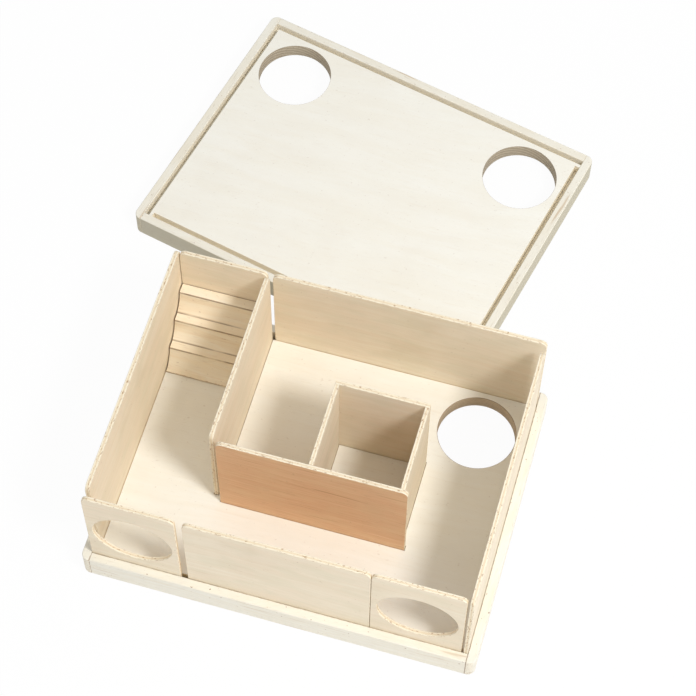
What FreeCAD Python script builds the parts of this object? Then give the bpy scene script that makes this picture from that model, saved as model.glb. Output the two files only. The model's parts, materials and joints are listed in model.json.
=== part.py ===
import FreeCAD, Part
import math
import os

# Wooden plug-together house with rooms, doors and stairs, with its lid taken off.
# All sizes are in millimetres. The origin is the centre of the base's underside:
# X runs to the right along the front, Y runs to the back and Z runs up.

# Base board and lid board
board_width = 350.0
board_depth = 267.0
base_height = 27.0
lid_height = 25.0
strip_width = 8.0
plate_thickness = 15.0
base_recess = 4.5
lid_recess = 1.0
corner_radius = 7.0
edge_round = 1.0

# Slots along the edges of each board, and the play of a wall that stands in one
wall_thickness = 4.0
wall_height = 120.0
wall_play = 0.3
slot_depth = 8.5
lid_slot_land = 3.2
wall_corner_radius = 6.0

# Round way-through holes in the walls and in both boards
hole_diameter = 70.0
hole_side_margin = 5.0
hole_sill = 13.0
board_hole_margin = 5.5

# Gaps left between the walls in the outer slots
front_gap_left = 6.5
front_gap_right = 0.5
front_end_gap = 2.0
back_end_gap = 0.6
side_wall_gap = 6.4
back_gap = 5.0
narrow_back_width = 80.0

# Inner walls, which stand in shallow housings cut in the base plate
housing_depth = 3.0
front_run_depth = 74.2
divider_offset = 3.2
divider_end_play = 0.3
divider_step = 1.7
nest_divider_gap = 3.3
right_room_width = 76.3
box_width = 82.8
box_depth = 82.5
nest_front_overhang = 3.6

# Stair block
step_count = 3
step_rise = 19.5
tread_depth = 7.6
top_tread_depth = 9.7
riser_run = 10.3
riser_hollow = 2.9
toe_height = 2.5
toe_depth = 3.6
nosing_radius = 0.5
stair_side_gap = 1.0
stair_back_gap = 0.3

# Where the lid lies on the ground behind the house
lid_turn = -12.8
lid_standoff = 0.6
lid_shift = -43.0

# Places that follow from the sizes above
half_width = board_width / 2
half_depth = board_depth / 2
board_corner = min(corner_radius, strip_width * 0.9)
hole_radius = hole_diameter / 2
slot_width = wall_thickness + 2 * wall_play
plate_edge_x = half_width - strip_width
plate_edge_y = half_depth - strip_width
slot_in_x = plate_edge_x - slot_width
slot_in_y = plate_edge_y - slot_width
wall_out_x = plate_edge_x - wall_play
wall_out_y = plate_edge_y - wall_play
wall_in_x = wall_out_x - wall_thickness
wall_in_y = wall_out_y - wall_thickness
floor_top = base_height - base_recess
wall_foot = floor_top - slot_depth
wall_top = wall_foot + wall_height
board_hole_x = slot_in_x - board_hole_margin - hole_radius
board_hole_y = slot_in_y - board_hole_margin - hole_radius

hole_panel_width = hole_diameter + 2 * hole_side_margin
front_left_end = -wall_out_x + hole_panel_width
front_right_end = wall_in_x - front_end_gap
front_right_start = front_right_end - hole_panel_width
centre_start = front_left_end + front_gap_left
centre_end = front_right_start - front_gap_right
side_wall_reach = wall_in_y - side_wall_gap
narrow_back_start = -wall_in_x + back_end_gap
narrow_back_end = narrow_back_start + narrow_back_width

inner_foot = floor_top - housing_depth
inner_height = wall_top - inner_foot
divider_x = front_left_end + divider_offset
nest_front_y = -wall_in_y + front_run_depth
nest_back_of_front = nest_front_y + wall_thickness
box_right = wall_in_x - right_room_width
box_left = box_right - box_width
box_back = nest_back_of_front + box_depth
nest_front_start = divider_x + wall_thickness + nest_divider_gap
nest_front_end = box_right + nest_front_overhang
divider_start = nest_back_of_front + divider_step
divider_end = wall_in_y - divider_end_play


def point(x, y, z):
    return FreeCAD.Vector(x, y, z)


def block(x_low, x_high, y_low, y_high, z_low, z_high):
    size = (x_high - x_low, y_high - y_low, z_high - z_low)
    return Part.makeBox(*size, point(x_low, y_low, z_low))


def upright_cylinder(x, y, radius, z_low, z_high):
    return Part.makeCylinder(radius, z_high - z_low, point(x, y, z_low))


def edges_where(shape, test):
    return [edge for edge in shape.Edges if test(edge.BoundBox)]


def plain_panel(start, end, height):
    """A wall standing along X, with its outer face on Y = 0 and its foot on Z = 0."""
    return block(start, end, 0.0, wall_thickness, 0.0, height)


def rounded_panel(start, end, height, square_foot=False):
    """The same wall with its corners rounded, all four or only the upper two."""
    panel = plain_panel(start, end, height)
    lowest = height / 2 if square_foot else -1.0
    corners = edges_where(
        panel, lambda box: box.XLength + box.ZLength < 1e-6 and box.ZMin > lowest
    )
    return panel.makeFillet(min(wall_corner_radius, (end - start) / 4, height / 4), corners)


def placed_along_x(panel, y, z):
    panel.translate(point(0, y, z))
    return panel


def placed_along_y(panel, x, z):
    """Turn a wall made along X so that it runs along Y, with its outer face on X = x."""
    panel.rotate(point(0, 0, 0), point(0, 0, 1), 90)
    panel.translate(point(x + wall_thickness, 0, z))
    return panel


def with_round_hole(panel, centre_x):
    """Cut the round way through a wall that runs along X, over its sill."""
    centre_z = base_height + hole_sill + hole_radius
    bounds = panel.BoundBox
    drill = Part.makeCylinder(
        hole_radius,
        bounds.YLength + 2,
        point(centre_x, bounds.YMin - 1, centre_z),
        point(0, 1, 0),
    )
    return panel.cut(drill)


def side_strip(height, side):
    """A long strip on the left or right, side -1 or 1, that covers the cross strips' ends."""
    low, high = sorted((side * plate_edge_x, side * half_width))
    strip = block(low, high, -half_depth, half_depth, 0.0, height)
    outer_x = side * half_width
    corners = edges_where(
        strip,
        lambda box: abs(box.XMin - outer_x) < 1e-6
        and abs(box.XMax - outer_x) < 1e-6
        and box.ZLength > height / 2,
    )
    strip = strip.makeFillet(board_corner, corners)
    return rounded_top(strip, height, lambda box: abs(box.Center.x - side * plate_edge_x) > 1e-6)


def cross_strip(height, side):
    """A strip at the front or back, side -1 or 1, that butts between the side strips."""
    low, high = sorted((side * plate_edge_y, side * half_depth))
    strip = block(-plate_edge_x, plate_edge_x, low, high, 0.0, height)
    return rounded_top(strip, height, lambda box: abs(box.Center.y - side * half_depth) < 1e-6)


def rounded_top(strip, height, on_outside):
    """Take the sharp arris off a strip's outer top edges."""
    radius = min(edge_round, strip_width / 4)
    edges = edges_where(strip, lambda box: box.ZMin > height - 1e-6 and on_outside(box))
    return strip.makeFillet(radius, edges)


def base_slots():
    """Where each slot of the base starts and ends: it follows the ends of its walls."""
    return {
        "front": (-plate_edge_x, front_right_end + wall_play),
        "back": (narrow_back_start - wall_play, plate_edge_x),
        "left": (-side_wall_reach - wall_play, plate_edge_y),
        "right": (-plate_edge_y, side_wall_reach + wall_play),
    }


def lid_slots():
    """The lid's left and back slots run from end to end, and the others stop short of them."""
    return {
        "front": (-slot_in_x + lid_slot_land, front_right_end + wall_play),
        "back": (-plate_edge_x, plate_edge_x),
        "left": (-plate_edge_y, plate_edge_y),
        "right": (-plate_edge_y, slot_in_y - lid_slot_land),
    }


def board_plate(top, holes, slots):
    """A plywood plate with a slot along each edge, open to the strip outside it."""
    foot = top - slot_depth
    plate = block(-plate_edge_x, plate_edge_x, -plate_edge_y, plate_edge_y, top - plate_thickness, top)
    cuts = [
        block(*slots["front"], -plate_edge_y, -slot_in_y, foot, top),
        block(*slots["back"], slot_in_y, plate_edge_y, foot, top),
        block(-plate_edge_x, -slot_in_x, *slots["left"], foot, top),
        block(slot_in_x, plate_edge_x, *slots["right"], foot, top),
    ]
    for x, y in holes:
        cuts.append(upright_cylinder(x, y, hole_radius, top - plate_thickness, top))
    for cut in cuts:
        plate = plate.cut(cut)
    return plate


def inner_walls():
    """The inner walls on the base plate, each standing in a housing of its own."""
    divider = rounded_panel(divider_start, divider_end, inner_height, square_foot=True)
    front = rounded_panel(nest_front_start, nest_front_end, inner_height, square_foot=True)
    left = plain_panel(nest_back_of_front, box_back - wall_thickness, inner_height)
    right = plain_panel(nest_back_of_front, box_back - wall_thickness, inner_height)
    back = plain_panel(box_left, box_right, inner_height)
    return {
        "divider_panel": placed_along_y(divider, divider_x, inner_foot),
        "nest_front_panel": placed_along_x(front, nest_front_y, inner_foot),
        "nest_left_panel": placed_along_y(left, box_left, inner_foot),
        "nest_right_panel": placed_along_y(right, box_right - wall_thickness, inner_foot),
        "nest_back_panel": placed_along_x(back, box_back - wall_thickness, inner_foot),
    }


def housing_for(panel):
    bounds = panel.BoundBox
    return block(
        bounds.XMin - wall_play,
        bounds.XMax + wall_play,
        bounds.YMin - wall_play,
        bounds.YMax + wall_play,
        inner_foot,
        floor_top + 1,
    )


def base_plate(walls):
    plate = board_plate(floor_top, [(board_hole_x, board_hole_y)], base_slots())
    for panel in walls.values():
        plate = plate.cut(housing_for(panel))
    return plate


def outer_walls():
    """The walls in the outer slots, each passing the end of the next round the corners."""
    front_hole_left = -wall_out_x + hole_panel_width / 2
    front_hole_right = front_right_end - hole_panel_width / 2

    def front(start, end):
        return placed_along_x(rounded_panel(start, end, wall_height), -wall_out_y, wall_foot)

    def back(start, end):
        return placed_along_x(rounded_panel(start, end, wall_height), wall_in_y, wall_foot)

    def side(start, end, x):
        return placed_along_y(rounded_panel(start, end, wall_height), x, wall_foot)

    front_left = front(-wall_out_x, front_left_end)
    front_right = front(front_right_start, front_right_end)
    return {
        "front_panel_left": with_round_hole(front_left, front_hole_left),
        "front_panel_centre": front(centre_start, centre_end),
        "front_panel_right": with_round_hole(front_right, front_hole_right),
        "side_wall_left": side(-side_wall_reach, wall_out_y, -wall_out_x),
        "side_wall_right": side(-wall_out_y, side_wall_reach, wall_in_x),
        "back_panel_narrow": back(narrow_back_start, narrow_back_end),
        "back_panel_wide": back(narrow_back_end + back_gap, wall_out_x),
    }


def stair_foot():
    """Where the toe of the stair starts, in Y."""
    climb = step_count * riser_run + (step_count - 1) * tread_depth + top_tread_depth
    return wall_in_y - stair_back_gap - climb - toe_depth


def stair_steps():
    """For each step, the low and the high end of its riser and the end of its tread."""
    y = stair_foot() + toe_depth
    z = floor_top + toe_height
    steps = []
    for step in range(step_count):
        low = point(0, y, z)
        high = point(0, y + riser_run, z + step_rise)
        depth = top_tread_depth if step == step_count - 1 else tread_depth
        y = high.y + depth
        z = high.z
        steps.append((low, high, point(0, y, z)))
    return steps


def stair_outline(steps):
    """The stair's side outline in Y and Z: toe, hollowed risers, treads and back."""
    toe = point(0, stair_foot(), floor_top)
    toe_edge = point(0, stair_foot(), floor_top + toe_height)
    path = [Part.makeLine(toe, toe_edge), Part.makeLine(toe_edge, steps[0][0])]
    slope = math.hypot(riser_run, step_rise)
    inwards = point(0, step_rise / slope, -riser_run / slope)
    for low, high, tread_end in steps:
        middle = (low + high) * 0.5 + inwards * riser_hollow
        path.append(Part.Arc(low, middle, high).toShape())
        path.append(Part.makeLine(high, tread_end))
    back_top = steps[-1][2]
    back_foot = point(0, back_top.y, floor_top)
    path += [Part.makeLine(back_top, back_foot), Part.makeLine(back_foot, toe)]
    return Part.Wire(path)


def stair_block():
    """Treads with hollowed risers and rounded nosings, cut from one block of solid wood."""
    steps = stair_steps()
    left = -wall_in_x + stair_side_gap
    width = divider_x - stair_side_gap - left
    stair = Part.Face(stair_outline(steps)).extrude(point(width, 0, 0))
    stair.translate(point(left, 0, 0))
    nosings = []
    for low, high, tread_end in steps:
        nosings += edges_where(
            stair,
            lambda box: box.XLength > width / 2
            and abs(box.Center.y - high.y) < 1e-6
            and abs(box.Center.z - high.z) < 1e-6,
        )
    return stair.makeFillet(min(nosing_radius, tread_depth / 4), nosings)


def laid_behind(shape):
    """Turn a lid piece and lay it on the ground behind the house."""
    turn = math.radians(abs(lid_turn))
    reach = (half_width - board_corner) * math.sin(turn) + (half_depth - board_corner) * math.cos(turn)
    shape.rotate(point(0, 0, 0), point(0, 0, 1), lid_turn)
    shape.translate(point(lid_shift, half_depth + lid_standoff + reach + board_corner, 0))
    return shape


def strips(name, height):
    return {
        name + "_strip_front": cross_strip(height, -1),
        name + "_strip_back": cross_strip(height, 1),
        name + "_strip_left": side_strip(height, -1),
        name + "_strip_right": side_strip(height, 1),
    }


def all_pieces():
    pieces = strips("base", base_height)
    inner = inner_walls()
    pieces["base_plate"] = base_plate(inner)
    pieces.update(inner)
    pieces.update(outer_walls())
    pieces["stair_block"] = stair_block()
    lid = strips("lid", lid_height)
    lid_holes = [(-board_hole_x, board_hole_y), (board_hole_x, board_hole_y)]
    lid["lid_plate"] = board_plate(lid_height - lid_recess, lid_holes, lid_slots())
    for name, shape in lid.items():
        pieces[name] = laid_behind(shape)
    return pieces


os.makedirs("parts", exist_ok=True)
for name, shape in all_pieces().items():
    shape.exportStep("parts/" + name + ".step")
    box = shape.BoundBox
    print(name, shape.isValid(), len(shape.Solids), round(shape.Volume), [
        round(value, 2) for value in (box.XMin, box.XMax, box.YMin, box.YMax, box.ZMin, box.ZMax)
    ])
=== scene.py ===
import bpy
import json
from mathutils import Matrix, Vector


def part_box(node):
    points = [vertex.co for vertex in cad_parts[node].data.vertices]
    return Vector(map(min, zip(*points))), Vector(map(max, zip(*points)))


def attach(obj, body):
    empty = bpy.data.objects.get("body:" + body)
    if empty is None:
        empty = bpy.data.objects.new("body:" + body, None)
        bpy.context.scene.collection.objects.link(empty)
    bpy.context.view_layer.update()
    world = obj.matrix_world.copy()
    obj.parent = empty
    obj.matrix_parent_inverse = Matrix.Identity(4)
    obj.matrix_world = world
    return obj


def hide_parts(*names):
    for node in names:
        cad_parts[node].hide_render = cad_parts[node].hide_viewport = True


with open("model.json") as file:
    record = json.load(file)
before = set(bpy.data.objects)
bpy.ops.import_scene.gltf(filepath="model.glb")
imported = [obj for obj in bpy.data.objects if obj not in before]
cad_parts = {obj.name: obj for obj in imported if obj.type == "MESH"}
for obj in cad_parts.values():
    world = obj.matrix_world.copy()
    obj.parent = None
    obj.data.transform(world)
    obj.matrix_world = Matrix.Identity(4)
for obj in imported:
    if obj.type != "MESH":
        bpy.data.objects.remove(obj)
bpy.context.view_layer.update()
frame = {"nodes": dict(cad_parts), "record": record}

import json
import math
import bmesh
import bpy
from mathutils import Matrix, Vector

# Wooden plug-together house of bare birch, poplar and pine, with its lid taken off.
# Every piece is a softened copy of its solid, finished with grain, ply layers and wear.

nodeBody = {node: body for body, nodes in frame["record"]["behaviour"]["bodies"].items() for node in nodes}
print("frame loaded:", len(nodeBody), "pieces")


def paintColour(red, green, blue):
    # a colour as it looks on screen, 0 to 255, made linear for the shader
    def linear(value):
        value /= 255
        return value / 12.92 if value <= 0.04045 else ((value + 0.055) / 1.055) ** 2.4
    return (linear(red), linear(green), linear(blue), 1.0)


def addObject(name, data):
    made = bpy.data.objects.new(name, data)
    bpy.context.collection.objects.link(made)
    return made


def addPiece(name, shape):
    mesh = bpy.data.meshes.new(name)
    shape.to_mesh(mesh)
    shape.free()
    return addObject(name, mesh)


# Small helpers for node trees

def addNode(tree, kind, values=None, **settings):
    made = tree.nodes.new(kind)
    for key, value in settings.items():
        setattr(made, key, value)
    for key, value in (values or {}).items():
        if isinstance(value, bpy.types.NodeSocket):
            tree.links.new(value, made.inputs[key])
        else:
            made.inputs[key].default_value = value
    return made


def addGroup(tree, group, values):
    return addNode(tree, "ShaderNodeGroup", values, node_tree=group).outputs


def maths(tree, operation, first, second=0.0, third=0.0):
    made = addNode(tree, "ShaderNodeMath", {0: first, 1: second, 2: third}, operation=operation)
    return made.outputs[0]


def times(tree, first, second):
    return maths(tree, "MULTIPLY", first, second)


def inverse(tree, mask):
    return maths(tree, "SUBTRACT", 1.0, mask)


def directions(tree, vector):
    return addNode(tree, "ShaderNodeSeparateXYZ", {0: vector}).outputs


def mixColour(tree, amount, first, second):
    made = addNode(tree, "ShaderNodeMix", {0: amount, 6: first, 7: second}, data_type="RGBA")
    return made.outputs[2]


def layOver(tree, colour, mask, strength, shade):
    # a shade laid over a colour where the mask is, as strongly as the look says
    return mixColour(tree, times(tree, mask, strength), colour, paintColour(*shade))


def ramp(tree, value, low, high):
    made = addNode(tree, "ShaderNodeMapRange", {0: value, 1: low, 2: high}, interpolation_type="SMOOTHSTEP")
    return made.outputs[0]


def noise(tree, place, stretch, detail=2.0, distortion=0.0):
    # noise whose grain is stretched: stretch gives the waves per metre along X, Y and Z
    spread = addNode(tree, "ShaderNodeVectorMath", {0: place, 1: stretch}, operation="MULTIPLY")
    made = addNode(tree, "ShaderNodeTexNoise", {
        "Vector": spread.outputs[0], "Scale": 1.0, "Detail": detail, "Roughness": 0.55,
        "Distortion": distortion})
    return made.outputs[0]


def spots(tree, place, stretch, detail, low, high, distortion=0.0):
    # the part of such noise between low and high, as pores, specks, streaks or patches
    return ramp(tree, noise(tree, place, stretch, detail, distortion), low, high)


def makeGroup(name, inputs, effect):
    # a node group of an effect, which gives back its outputs by name
    group = bpy.data.node_groups.new(name, "ShaderNodeTree")
    for label, kind in inputs.items():
        group.interface.new_socket(name=label, in_out="INPUT", socket_type="NodeSocket" + kind)
    values = effect(group, group.nodes.new("NodeGroupInput").outputs)
    for label in values:
        group.interface.new_socket(name=label, in_out="OUTPUT", socket_type="NodeSocketFloat")
    result = group.nodes.new("NodeGroupOutput")
    for label, value in values.items():
        group.links.new(value, result.inputs[label])
    return group


# Shared effects. In all of them X runs along the grain and Y through the thickness.

bandLook = {"wander": (5.0, 12.0, 12.0), "drift": 0.045, "along": 4.0, "through": 30.0,
            "detail": 4.0, "roughness": 0.6, "distortion": 0.25, "low": 0.36, "high": 0.66}
figureMarks = {
    "Fibre": {"stretch": (22.0, 500.0, 620.0), "detail": 3.0, "low": 0.3, "high": 0.72},
    "Pores": {"stretch": (90.0, 1500.0, 1700.0), "detail": 1.0, "low": 0.66, "high": 0.76},
    "Blotch": {"stretch": (7.0, 9.0, 11.0), "detail": 3.0, "low": 0.3, "high": 0.7},
    "Streaks": {"stretch": (11.0, 160.0, 330.0), "detail": 2.0, "low": 0.64, "high": 0.7},
    "Mottle": {"stretch": (26.0, 40.0, 60.0), "detail": 3.0, "low": 0.4, "high": 0.66, "distortion": 0.4},
}


def woodFigure(group, given):
    # growth bands, fibres, pores, dark streaks and soft blotches of a sawn or peeled face
    place = given["Place"]
    along, through, across = directions(group, place)
    wander = maths(group, "SUBTRACT", noise(group, place, bandLook["wander"]), 0.5)
    bent = maths(group, "ADD", across, times(group, wander, bandLook["drift"]))
    bandPlace = addNode(group, "ShaderNodeCombineXYZ", {
        0: times(group, along, bandLook["along"]), 1: times(group, through, bandLook["through"]),
        2: maths(group, "DIVIDE", bent, given["Band Width"])})
    bands = addNode(group, "ShaderNodeTexNoise", {
        "Vector": bandPlace.outputs[0], "Scale": 1.0, "Detail": bandLook["detail"],
        "Roughness": bandLook["roughness"], "Distortion": bandLook["distortion"]})
    values = {"Bands": ramp(group, bands.outputs[0], bandLook["low"], bandLook["high"])}
    for label, marks in figureMarks.items():
        values[label] = spots(group, place, **marks)
    return values


plyEdgeLook = {
    "flatFaces": (0.55, 0.85), "waver": (35.0, 35.0, 35.0), "waverBy": 0.12, "glueLine": (0.4, 0.5),
    "glueGaps": {"stretch": (60.0, 60.0, 60.0), "detail": 1.0, "low": 0.1, "high": 0.6},
    "pits": {"stretch": (300.0, 850.0, 300.0), "detail": 2.0, "low": 0.58, "high": 0.68},
}


def plyEdge(group, given):
    # the layers that show on the cut edges of plywood, with glue lines and small pits
    place = given["Place"]
    flat = maths(group, "ABSOLUTE", directions(group, given["Facing"])[1])
    waver = times(group, noise(group, place, plyEdgeLook["waver"]), plyEdgeLook["waverBy"])
    layers = maths(group, "DIVIDE", directions(group, place)[1], given["Layer"])
    depth = maths(group, "ADD", layers, waver)
    fromMiddle = maths(group, "ABSOLUTE", maths(group, "SUBTRACT", maths(group, "FRACT", depth), 0.5))
    glue = ramp(group, fromMiddle, *plyEdgeLook["glueLine"])
    return {
        "Mask": inverse(group, ramp(group, flat, *plyEdgeLook["flatFaces"])),
        "Glue": times(group, glue, spots(group, place, **plyEdgeLook["glueGaps"])),
        "Layer Shade": maths(group, "PINGPONG", maths(group, "FLOOR", depth), 1.0),
        "Pits": spots(group, place, **plyEdgeLook["pits"]),
    }


endGrainLook = {
    "endFaces": (0.6, 0.85),
    "rings": {"Scale": 85.0, "Distortion": 1.6, "Detail": 2.0, "Detail Scale": 1.0},
    "pits": {"stretch": (500.0, 1100.0, 260.0), "detail": 2.0, "low": 0.54, "high": 0.7},
}


def endGrain(group, given):
    # the sawn ends of solid wood: growth rings seen end on, and open pores
    end = maths(group, "ABSOLUTE", directions(group, given["Facing"])[0])
    rings = addNode(group, "ShaderNodeTexWave", dict(endGrainLook["rings"], Vector=given["Place"]),
                    wave_type="RINGS", rings_direction="X")
    return {
        "Mask": ramp(group, end, *endGrainLook["endFaces"]),
        "Rings": rings.outputs["Fac"],
        "Pits": spots(group, given["Place"], **endGrainLook["pits"]),
    }


handlingLook = {
    "grime": {"stretch": (16.0, 16.0, 16.0), "detail": 4.0, "low": 0.5, "high": 0.78},
    "dents": {"stretch": (240.0, 240.0, 240.0), "detail": 2.0, "low": 0.42, "high": 0.62},
    "specks": {"stretch": (300.0, 420.0, 520.0), "detail": 1.0, "low": 0.72, "high": 0.77},
}


def handling(group, given):
    # handling marks: grey-brown grime in patches, rubbed and dented arrises, and specks
    place = given["Place"]
    return {
        "Grime": spots(group, place, **handlingLook["grime"]),
        "Rub": times(group, spots(group, place, **handlingLook["dents"]), given["Arris"]),
        "Specks": spots(group, place, **handlingLook["specks"]),
    }


stepLineLook = {
    "sway": (30.0, 30.0, 30.0), "swayBy": 0.0006, "nose": (0.89, 0.95), "heel": (0.03, 0.07),
    "firstHeel": 0.5,   # in steps above the foot
    "fading": {"stretch": (45.0, 45.0, 45.0), "detail": 2.0, "low": 0.2, "high": 0.6},
}


def stepLines(group, given):
    # painted shade: a dark line under each nose, and a fainter one in the crease behind each tread
    place = given["Place"]
    sway = times(group, noise(group, place, stepLineLook["sway"]), stepLineLook["swayBy"])
    height = maths(group, "ADD", directions(group, place)[2], sway)
    climbed = maths(group, "SUBTRACT", height, given["Foot"])
    steps = maths(group, "DIVIDE", climbed, given["Rise"])
    above = maths(group, "FRACT", steps)
    fading = spots(group, place, **stepLineLook["fading"])
    heel = inverse(group, ramp(group, above, *stepLineLook["heel"]))
    started = maths(group, "GREATER_THAN", steps, stepLineLook["firstHeel"])
    return {
        "Nose": times(group, ramp(group, above, *stepLineLook["nose"]), fading),
        "Heel": times(group, times(group, heel, started), fading),
    }


figureGroup = makeGroup("woodFigure", {"Place": "Vector", "Band Width": "Float"}, woodFigure)
stepLineGroup = makeGroup("stepLines", {"Place": "Vector", "Rise": "Float", "Foot": "Float"}, stepLines)
plyEdgeGroup = makeGroup("plyEdge", {"Place": "Vector", "Facing": "Vector", "Layer": "Float"}, plyEdge)
endGrainGroup = makeGroup("endGrain", {"Place": "Vector", "Facing": "Vector"}, endGrain)
handlingGroup = makeGroup("handling", {"Place": "Vector", "Arris": "Float"}, handling)
print("shared effects made")

# Bare wood. Heights are counted in the depth of a pore.

woodFinish = {
    "fibreHeight": -0.35, "glueHeight": -0.6, "plyPitHeight": -1.6, "endPitHeight": -1.4,
    "poreDepth": 0.0003, "layerShade": 0.55, "ringShade": 0.5, "fibreRough": 0.12, "cutRough": 0.1,
    "specular": 0.3, "lyingFaces": (0.2, 0.75), "levelFaces": (0.95, 0.995),
}
figureShades = {"Blotch": "warm", "Fibre": "dark", "Pores": "pore", "Mottle": "mottleColour",
                "Streaks": "streakColour"}


def localPlace(tree, turn, shift):
    # the piece's own directions: X along the grain, Y through the thickness, Z across
    coords = tree.nodes.new("ShaderNodeTexCoord").outputs
    place = addNode(tree, "ShaderNodeMapping", {
        "Vector": coords["Object"], "Rotation": turn, "Location": shift})
    facing = addNode(tree, "ShaderNodeMapping", {
        "Vector": coords["Normal"], "Rotation": turn}, vector_type="VECTOR")
    upwards = maths(tree, "ABSOLUTE", directions(tree, coords["Normal"])[2])
    return place.outputs[0], facing.outputs[0], upwards


def markedFaces(tree, label):
    return addNode(tree, "ShaderNodeAttribute", attribute_name=label).outputs["Fac"]


def clearWood(tree, look, figure):
    # colour and height of the sawn or peeled faces
    colour = layOver(tree, paintColour(*look["light"]), figure["Bands"], look["bands"], look["dark"])
    for label, shade in figureShades.items():
        colour = layOver(tree, colour, figure[label], look[label.lower()], look[shade])
    height = times(tree, figure["Fibre"], woodFinish["fibreHeight"])
    return colour, maths(tree, "SUBTRACT", height, figure["Pores"])


def cutPly(tree, look, place, facing):
    # mask, colour and height of the edges of plywood
    edge = addGroup(tree, plyEdgeGroup, {"Place": place, "Facing": facing, "Layer": look["layer"]})
    colour = layOver(tree, paintColour(*look["edgeLight"]), edge["Layer Shade"], woodFinish["layerShade"],
                     look["edgeDark"])
    colour = layOver(tree, colour, edge["Glue"], look["glue"], look["pore"])
    colour = layOver(tree, colour, edge["Pits"], look["pits"], look["pore"])
    height = maths(tree, "ADD", times(tree, edge["Pits"], woodFinish["plyPitHeight"]),
                   times(tree, edge["Glue"], woodFinish["glueHeight"]))
    return edge["Mask"], colour, height


def cutSolid(tree, look, place, facing):
    # mask, colour and height of the ends of solid wood
    end = addGroup(tree, endGrainGroup, {"Place": place, "Facing": facing})
    colour = layOver(tree, paintColour(*look["edgeLight"]), end["Rings"], woodFinish["ringShade"],
                     look["edgeDark"])
    colour = layOver(tree, colour, end["Pits"], look["pits"], look["pore"])
    return end["Mask"], colour, times(tree, end["Pits"], woodFinish["endPitHeight"])


def layStepLines(tree, look, colour, place, side, upwards):
    # painted shade under each nose and in the crease behind each tread
    lines = addGroup(tree, stepLineGroup, {"Place": place, "Rise": look["rise"], "Foot": look["foot"]})
    sloping = inverse(tree, ramp(tree, upwards, *woodFinish["levelFaces"]))
    for label, mask, strength in [("Nose", side, look["noseLine"]), ("Heel", sloping, look["heelLine"])]:
        colour = layOver(tree, colour, times(tree, lines[label], mask), strength, look["paintedShadeColour"])
    return colour


def woodMaterial(name, look, turn, shift):
    # bare wood: look names its colours and the strength of each effect
    material = bpy.data.materials.new(name)
    material.use_nodes = True
    tree = material.node_tree
    place, facing, upwards = localPlace(tree, turn, shift)
    side = inverse(tree, ramp(tree, upwards, *woodFinish["lyingFaces"]))
    arris = markedFaces(tree, "arris")
    figure = addGroup(tree, figureGroup, {"Place": place, "Band Width": look["bandWidth"]})
    wear = addGroup(tree, handlingGroup, {"Place": place, "Arris": arris})

    colour, height = clearWood(tree, look, figure)
    cutWood = cutPly if "layer" in look else cutSolid
    cutMask, cutColour, cutHeight = cutWood(tree, look, place, facing)
    colour = mixColour(tree, cutMask, colour, cutColour)
    height = times(tree, height, inverse(tree, cutMask))
    height = maths(tree, "ADD", height, times(tree, cutHeight, cutMask))

    colour = layOver(tree, colour, wear["Grime"], look["grime"], look["grimeColour"])
    # painted shade: the outer upright faces darker and greyer, used on the lid strips only
    paintedShadeSides = times(tree, side, markedFaces(tree, "outer"))
    colour = layOver(tree, colour, paintedShadeSides, look["side"], look["sideShadeColour"])
    # the eased edges lighter: partly wear, partly painted highlight
    colour = layOver(tree, colour, arris, look["wearAndHighlight"], look["edgeLight"])
    if "slotColour" in look:
        slot = markedFaces(tree, "slot")
        colour = mixColour(tree, slot, colour, paintColour(*look["slotColour"]))
        height = times(tree, height, inverse(tree, slot))
    # painted shade in hollow edges and joints; the same dark colour on the rims of the holes
    colour = layOver(tree, colour, markedFaces(tree, "crease"), look["creaseShade"], look["paintedShadeColour"])
    if "rise" in look:
        colour = layStepLines(tree, look, colour, place, side, upwards)
    colour = layOver(tree, colour, wear["Rub"], look["rub"], look["pore"])
    colour = layOver(tree, colour, wear["Specks"], look["specks"], look["speckColour"])

    rough = maths(tree, "ADD", look["rough"], times(tree, figure["Fibre"], woodFinish["fibreRough"]))
    rough = maths(tree, "ADD", rough, times(tree, cutMask, woodFinish["cutRough"]))
    bump = addNode(tree, "ShaderNodeBump", {
        "Strength": look["relief"], "Distance": woodFinish["poreDepth"], "Height": height})
    shader = tree.nodes["Principled BSDF"]
    tree.links.new(colour, shader.inputs["Base Color"])
    tree.links.new(rough, shader.inputs["Roughness"])
    tree.links.new(bump.outputs[0], shader.inputs["Normal"])
    shader.inputs["Specular IOR Level"].default_value = woodFinish["specular"]
    return material


# Softened copies of the solids. Bends are in degrees, areas in square metres.

plySoft = {"weld": 1e-6, "sharpOver": 35, "curvedOver": 0.5, "flatUnder": 0.2, "flatOver": 2e-4,
           "ease": 0.0004, "segments": 2, "hollowReach": 1.05}
solidSoft = dict(plySoft, ease=0.0005)


def distanceToLine(spot, ends):
    first, second = ends
    along = second - first
    reach = (spot - first).dot(along) / (along.length_squared or 1.0)
    return (spot - first - along * max(0.0, min(1.0, reach))).length


def sortEdges(shape, soft):
    # the sharp edges, the ends of the hollow ones among them, and the small faces of curved walls
    sharp = []
    hollows = []
    curved = set()
    for edge in shape.edges:
        if len(edge.link_faces) != 2:
            continue
        bend = math.degrees(edge.calc_face_angle(0.0))
        if bend > soft["sharpOver"]:
            sharp.append(edge)
            if not edge.is_convex:
                hollows.append([corner.co.copy() for corner in edge.verts])
        elif bend > soft["curvedOver"]:
            curved.update(face for face in edge.link_faces if face.calc_area() < soft["flatOver"])
    return sharp, hollows, curved


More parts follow.
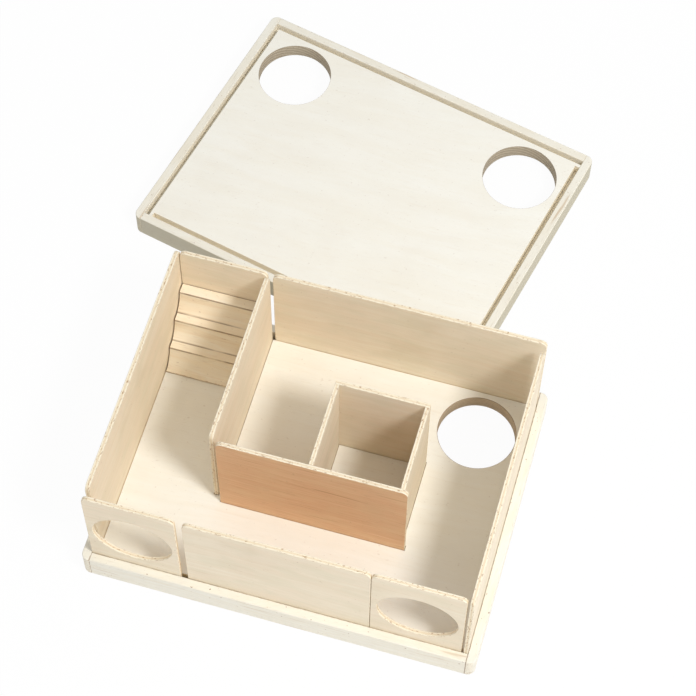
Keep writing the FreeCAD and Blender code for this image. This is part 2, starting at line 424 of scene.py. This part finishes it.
def softenedCopy(nodeName, soft):
    # a copy of the solid with its edges eased; "arris" and "crease" mark the faces made there
    shape = bmesh.new()
    shape.from_mesh(frame["nodes"][nodeName].data)
    bmesh.ops.remove_doubles(shape, verts=shape.verts[:], dist=soft["weld"])
    bmesh.ops.dissolve_limit(shape, angle_limit=math.radians(soft["flatUnder"]), verts=shape.verts[:],
                             edges=shape.edges[:])
    shape.normal_update()
    sharp, hollows, curved = sortEdges(shape, soft)
    for face in curved:
        face.smooth = True
    arris = shape.faces.layers.float.new("arris")
    crease = shape.faces.layers.float.new("crease")
    made = bmesh.ops.bevel(shape, geom=sharp, offset=soft["ease"], offset_type="OFFSET", affect="EDGES",
                           segments=soft["segments"], profile=0.5, material=-1, clamp_overlap=True)
    hollowWithin = soft["ease"] * soft["hollowReach"]
    for face in made["faces"]:
        face.smooth = True
        centre = face.calc_center_median()
        hollow = any(distanceToLine(centre, ends) < hollowWithin for ends in hollows)
        face[crease if hollow else arris] = 1.0
    # a nose rounding as small as the easing shrinks to one spot, which would fold the block's end
    bmesh.ops.remove_doubles(shape, verts=shape.verts[:], dist=soft["weld"])
    return addPiece(nodeName + "_wood", shape)


def dress(nodeName, look, turn, shift):
    # the copy takes the solid's place, in wood whose pattern is turned and shifted to suit it
    kind, soft = ("_ply", plySoft) if "layer" in look else ("_solid", solidSoft)
    piece = softenedCopy(nodeName, soft)
    piece.data.materials.append(woodMaterial(nodeName + kind, look, turn, shift))
    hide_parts(nodeName)
    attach(piece, nodeBody[nodeName])
    return piece


quarter = math.pi / 2
lidTurn = math.radians(12.8)   # turns a pattern back onto the lid

# Thin plywood walls

wallLook = {
    "light": (246, 235, 213), "dark": (233, 212, 180), "warm": (240, 219, 194), "pore": (178, 140, 100),
    "mottleColour": (226, 218, 190), "streakColour": (206, 174, 134),
    "edgeLight": (250, 240, 216), "edgeDark": (230, 204, 164),
    # painted shade colours: one for outer upright faces, one for creases and step lines
    "sideShadeColour": (236, 214, 184), "paintedShadeColour": (120, 84, 52),
    "grimeColour": (196, 170, 134), "speckColour": (150, 112, 76),
    "bandWidth": 0.007, "bands": 0.35, "blotch": 0.4, "fibre": 0.14, "pores": 0.2, "mottle": 0.3,
    # strengths below: no painted side shade on the walls, edges lightened as wear and painted highlight,
    # painted shade in creases
    "streaks": 0.12, "layer": 0.00134, "glue": 0.35, "pits": 0.8, "side": 0.0, "wearAndHighlight": 0.6, "creaseShade": 0.7,
    "grime": 0.16, "rub": 0.4, "specks": 0.4, "rough": 0.58, "relief": 0.25,
}
nestFrontLook = dict(wallLook, **{
    "light": (238, 198, 158), "dark": (216, 168, 126), "warm": (230, 181, 142),
    "mottleColour": (232, 198, 156), "streakColour": (176, 124, 84), "bandWidth": 0.003, "bands": 0.45,
    "fibre": 0.5, "streaks": 0.45, "mottle": 0.4, "pores": 0.6,
})
wallLooks = {"nest_front_panel": nestFrontLook}
wallsAlongX = {
    "names": ["front_panel_left", "front_panel_centre", "front_panel_right", "back_panel_narrow",
              "back_panel_wide", "nest_front_panel", "nest_back_panel"],
    "start": (0.0, 0.0), "step": (0.37, 0.23),   # the pattern's shift along and across, in metres
}
wallsAlongY = {
    "names": ["side_wall_left", "side_wall_right", "divider_panel", "nest_left_panel", "nest_right_panel"],
    "start": (3.0, 2.0), "step": (0.41, 0.29),
}


def dressWall(run, number, turn, depth):
    name = run["names"][number]
    along, across = (start + step * number for start, step in zip(run["start"], run["step"]))
    dress(name, wallLooks.get(name, wallLook), (0, 0, turn), (along, depth, across))


def dressWalls():
    for number, name in enumerate(wallsAlongX["names"]):
        dressWall(wallsAlongX, number, 0.0, -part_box(name)[0][1])
    for number, name in enumerate(wallsAlongY["names"]):
        # a quarter turn brings X onto the wall's run and its thickness onto Y
        dressWall(wallsAlongY, number, -quarter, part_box(name)[1][0])


dressWalls()
print("walls dressed:", len(wallsAlongX["names"]) + len(wallsAlongY["names"]))

# Plates of the base and the lid, thicker plywood

plateLook = dict(wallLook, **{
    "light": (250, 248, 239), "dark": (243, 236, 219), "warm": (246, 241, 227), "pore": (186, 156, 122),
    "mottleColour": (244, 240, 229), "slotColour": (238, 218, 182),
    "edgeLight": (222, 206, 180), "edgeDark": (176, 152, 124),
    "bandWidth": 0.016, "bands": 0.35, "blotch": 0.3, "fibre": 0.1, "pores": 0.1, "mottle": 0.25,
    "streaks": 0.05, "layer": 0.00125, "glue": 0.75, "pits": 0.5, "wearAndHighlight": 0.25, "grime": 0.05,
    "rub": 0.3, "specks": 0.15, "rough": 0.6, "relief": 0.2,
})
lidPlateLook = dict(plateLook, **{
    "edgeLight": (198, 186, 164), "edgeDark": (160, 144, 120), "pore": (118, 100, 80),
    "slotColour": (250, 241, 221), "layer": 0.0019, "pits": 0.12, "wearAndHighlight": 0.1, "rub": 0.15,
})
# places from the middle of the plate, and the step of the pattern's shift from board to board
plateMarks = {"slotFrom": (0.162, 0.1205), "holeAt": (0.1219, 0.0804), "rimFrom": 0.0068,
              "rimReach": 0.0358, "step": (1.7, 0.9)}
boardTurns = {"base": 0.0, "lid": lidTurn}


def middle(nodeName):
    return sum((Vector(corner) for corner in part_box(nodeName)), Vector()) / 2


def markFaces(piece, label, aroundNode, turn, chosen):
    # mark the faces chosen by where they lie from a node's middle, in the board's own directions
    layer = piece.data.attributes.get(label) or piece.data.attributes.new(label, "FLOAT", "FACE")
    straight = Matrix.Rotation(turn, 3, "Z")
    centre = middle(aroundNode)
    for face in piece.data.polygons:
        if chosen(straight @ (face.center - centre)):
            layer.data[face.index].value = 1.0


def beyond(spot, limits):
    return abs(spot.x) > limits[0] or abs(spot.y) > limits[1]


def onHoleRim(spot):
    x, y = plateMarks["holeAt"]
    away = math.hypot(abs(spot.x) - x, spot.y - y)
    return abs(spot.z) > plateMarks["rimFrom"] and away < plateMarks["rimReach"]


def dressPlate(board, look, number):
    name = board + "_plate"
    turn = boardTurns[board]
    along, across = (step * number for step in plateMarks["step"])
    # the quarter turn about X lays the thickness on Y
    piece = dress(name, look, (-quarter, 0, turn), (along, -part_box(name)[0][2], across))
    markFaces(piece, "slot", name, turn, lambda spot: beyond(spot, plateMarks["slotFrom"]))
    markFaces(piece, "crease", name, turn, onHoleRim)


dressPlate("base", plateLook, 0)
dressPlate("lid", lidPlateLook, 1)
print("plates dressed")

# Solid wood strips round both boards

stripLook = dict(wallLook, **{
    "light": (244, 241, 230), "dark": (235, 225, 202), "warm": (242, 234, 215), "pore": (170, 136, 98),
    "mottleColour": (243, 240, 228), "streakColour": (190, 156, 114), "edgeLight": (247, 241, 226),
    "edgeDark": (236, 224, 198), "bandWidth": 0.0035, "bands": 0.4, "blotch": 0.25, "fibre": 0.25,
    "pores": 0.3, "mottle": 0.3, "streaks": 0.4, "pits": 0.35, "wearAndHighlight": 0.3, "grime": 0.08, "rub": 0.5,
    "specks": 0.8, "rough": 0.55, "relief": 0.35,
})
del stripLook["layer"]   # solid wood has none
lidStripLook = dict(stripLook, **{
    # painted shade on the outer upright faces, greyer
    "side": 0.75, "sideShadeColour": (183, 175, 150), "slotColour": (241, 234, 218), "pits": 0.1,
    "wearAndHighlight": 0.1, "specks": 0.35, "streaks": 0.5, "rub": 0.08,
})
# places from the middle of the plate or strip, and the steps of the pattern's shift
stripMarks = {"jointFrom": 0.1666, "outerFrom": (0.1675, 0.126), "innerTo": (0.1671, 0.1256),
              "boardStep": (1.3, 0.0, 0.0), "sideStep": (0.31, 0.17, 0.53)}
stripSides = {"front": 0.0, "back": 0.0, "left": -quarter, "right": -quarter}


def dressStrips(board, look, number):
    turn = boardTurns[board]
    plate = board + "_plate"
    for order, (side, extra) in enumerate(stripSides.items()):
        name = board + "_strip_" + side
        steps = zip(stripMarks["boardStep"], stripMarks["sideStep"])
        shift = [boardStep * number + sideStep * order for boardStep, sideStep in steps]
        piece = dress(name, look, (0, 0, turn + extra), shift)
        if extra == 0.0 and board == "base":
            # painted shade in the joints with the side strips
            markFaces(piece, "crease", name, turn, lambda spot: abs(spot.x) > stripMarks["jointFrom"])
        # outer faces: the lid strips' painted side shade goes on them
        markFaces(piece, "outer", plate, turn, lambda spot: beyond(spot, stripMarks["outerFrom"]))
        # the faces that close the slots of the board
        markFaces(piece, "slot", plate, turn, lambda spot: not beyond(spot, stripMarks["innerTo"]))


dressStrips("base", stripLook, 0)
dressStrips("lid", lidStripLook, 1)
print("strips dressed")

# Stair block, solid pine

stairLook = dict(stripLook, **{
    "light": (254, 246, 228), "dark": (243, 222, 187), "warm": (250, 230, 198), "pore": (168, 120, 74),
    "mottleColour": (251, 242, 220), "streakColour": (212, 168, 116), "edgeLight": (246, 228, 194),
    "edgeDark": (214, 176, 128), "bandWidth": 0.006, "bands": 0.6, "fibre": 0.25, "specks": 0.25,
    "streaks": 0.12, "creaseShade": 0.85, "relief": 0.3, "wearAndHighlight": 0.0,
    # painted shade lines under the noses and behind the treads
    "rise": 0.0195, "foot": 0.025, "noseLine": 0.75, "heelLine": 0.65,
})
stairShift = (0.2, 0.1, 0.0)
dress("stair_block", stairLook, (0, 0, 0), stairShift)
print("stairs dressed")

# Floor, light and camera

stageLook = {"size": 8.0, "depth": -0.0003, "colour": (0.92, 0.92, 0.92, 1.0), "rough": 0.9, "glow": 0.96}
lampLooks = {"key_lamp": {"power": 31.0, "place": (1.15, -0.6, 1.95), "size": 0.5},
             "fill_lamp": {"power": 0.5, "place": (-0.5, -1.8, 1.0), "size": 1.6}}
worldLight = 0.56   # what the world gives the object; the camera sees it at full white
cameraLook = {"place": (0.24614, -0.81546, 1.79111), "azimuth": 15.221, "elevation": 60.983,
              "roll": 0.850, "lens": 115.53, "sensor": 36.0}
white = (1, 1, 1, 1)


def seenDirectly(tree):
    # 1 for the camera and for what shows in gloss or glass, else 0
    path = tree.nodes.new("ShaderNodeLightPath").outputs
    seen = maths(tree, "ADD", path["Is Camera Ray"], path["Is Glossy Ray"])
    made = addNode(tree, "ShaderNodeMath", {0: seen, 1: path["Is Transmission Ray"]},
                   operation="ADD", use_clamp=True)
    return made.outputs[0]


def makeFloor():
    shape = bmesh.new()
    bmesh.ops.create_grid(shape, x_segments=2, y_segments=2, size=stageLook["size"])
    bmesh.ops.translate(shape, verts=shape.verts[:], vec=(0, 0, stageLook["depth"]))
    floor = addPiece("floor", shape)
    material = bpy.data.materials.new("pale_floor")
    material.use_nodes = True
    tree = material.node_tree
    shader = tree.nodes["Principled BSDF"]
    shader.inputs["Base Color"].default_value = stageLook["colour"]
    shader.inputs["Roughness"].default_value = stageLook["rough"]
    glow = addNode(tree, "ShaderNodeEmission", {"Color": white, "Strength": 1.0})
    amount = times(tree, seenDirectly(tree), stageLook["glow"])
    mixed = addNode(tree, "ShaderNodeMixShader", {0: amount, 1: shader.outputs[0], 2: glow.outputs[0]})
    tree.links.new(mixed.outputs[0], tree.nodes["Material Output"].inputs["Surface"])
    floor.data.materials.append(material)


def makeWorld():
    world = bpy.data.worlds.new("studio")
    bpy.context.scene.world = world
    world.use_nodes = True
    tree = world.node_tree
    back = tree.nodes["Background"]
    back.inputs["Color"].default_value = white
    strength = maths(tree, "MULTIPLY_ADD", seenDirectly(tree), 1.0 - worldLight, worldLight)
    tree.links.new(strength, back.inputs["Strength"])


def addLamp(name, power, place, size):
    lamp = bpy.data.lights.new(name, "AREA")
    lamp.energy = power
    lamp.shape = "DISK"
    lamp.size = size
    holder = addObject(name, lamp)
    holder.location = place
    aim = -holder.location
    holder.rotation_euler = aim.to_track_quat("-Z", "Y").to_euler()


def addCamera():
    camera = bpy.data.cameras.new("photo_view")
    camera.sensor_width = cameraLook["sensor"]
    camera.lens = cameraLook["lens"]
    holder = addObject("photo_view", camera)
    azimuth, elevation, roll = (math.radians(cameraLook[key]) for key in ("azimuth", "elevation", "roll"))
    holder.matrix_world = (Matrix.Translation(cameraLook["place"]) @ Matrix.Rotation(azimuth, 4, "Z")
                           @ Matrix.Rotation(quarter - elevation, 4, "X") @ Matrix.Rotation(roll, 4, "Z"))
    bpy.context.scene.camera = holder


makeFloor()
makeWorld()
for lampName, lampLook in lampLooks.items():
    addLamp(lampName, **lampLook)
addCamera()
bpy.context.scene.view_settings.view_transform = "Standard"
print("floor, light and camera set")
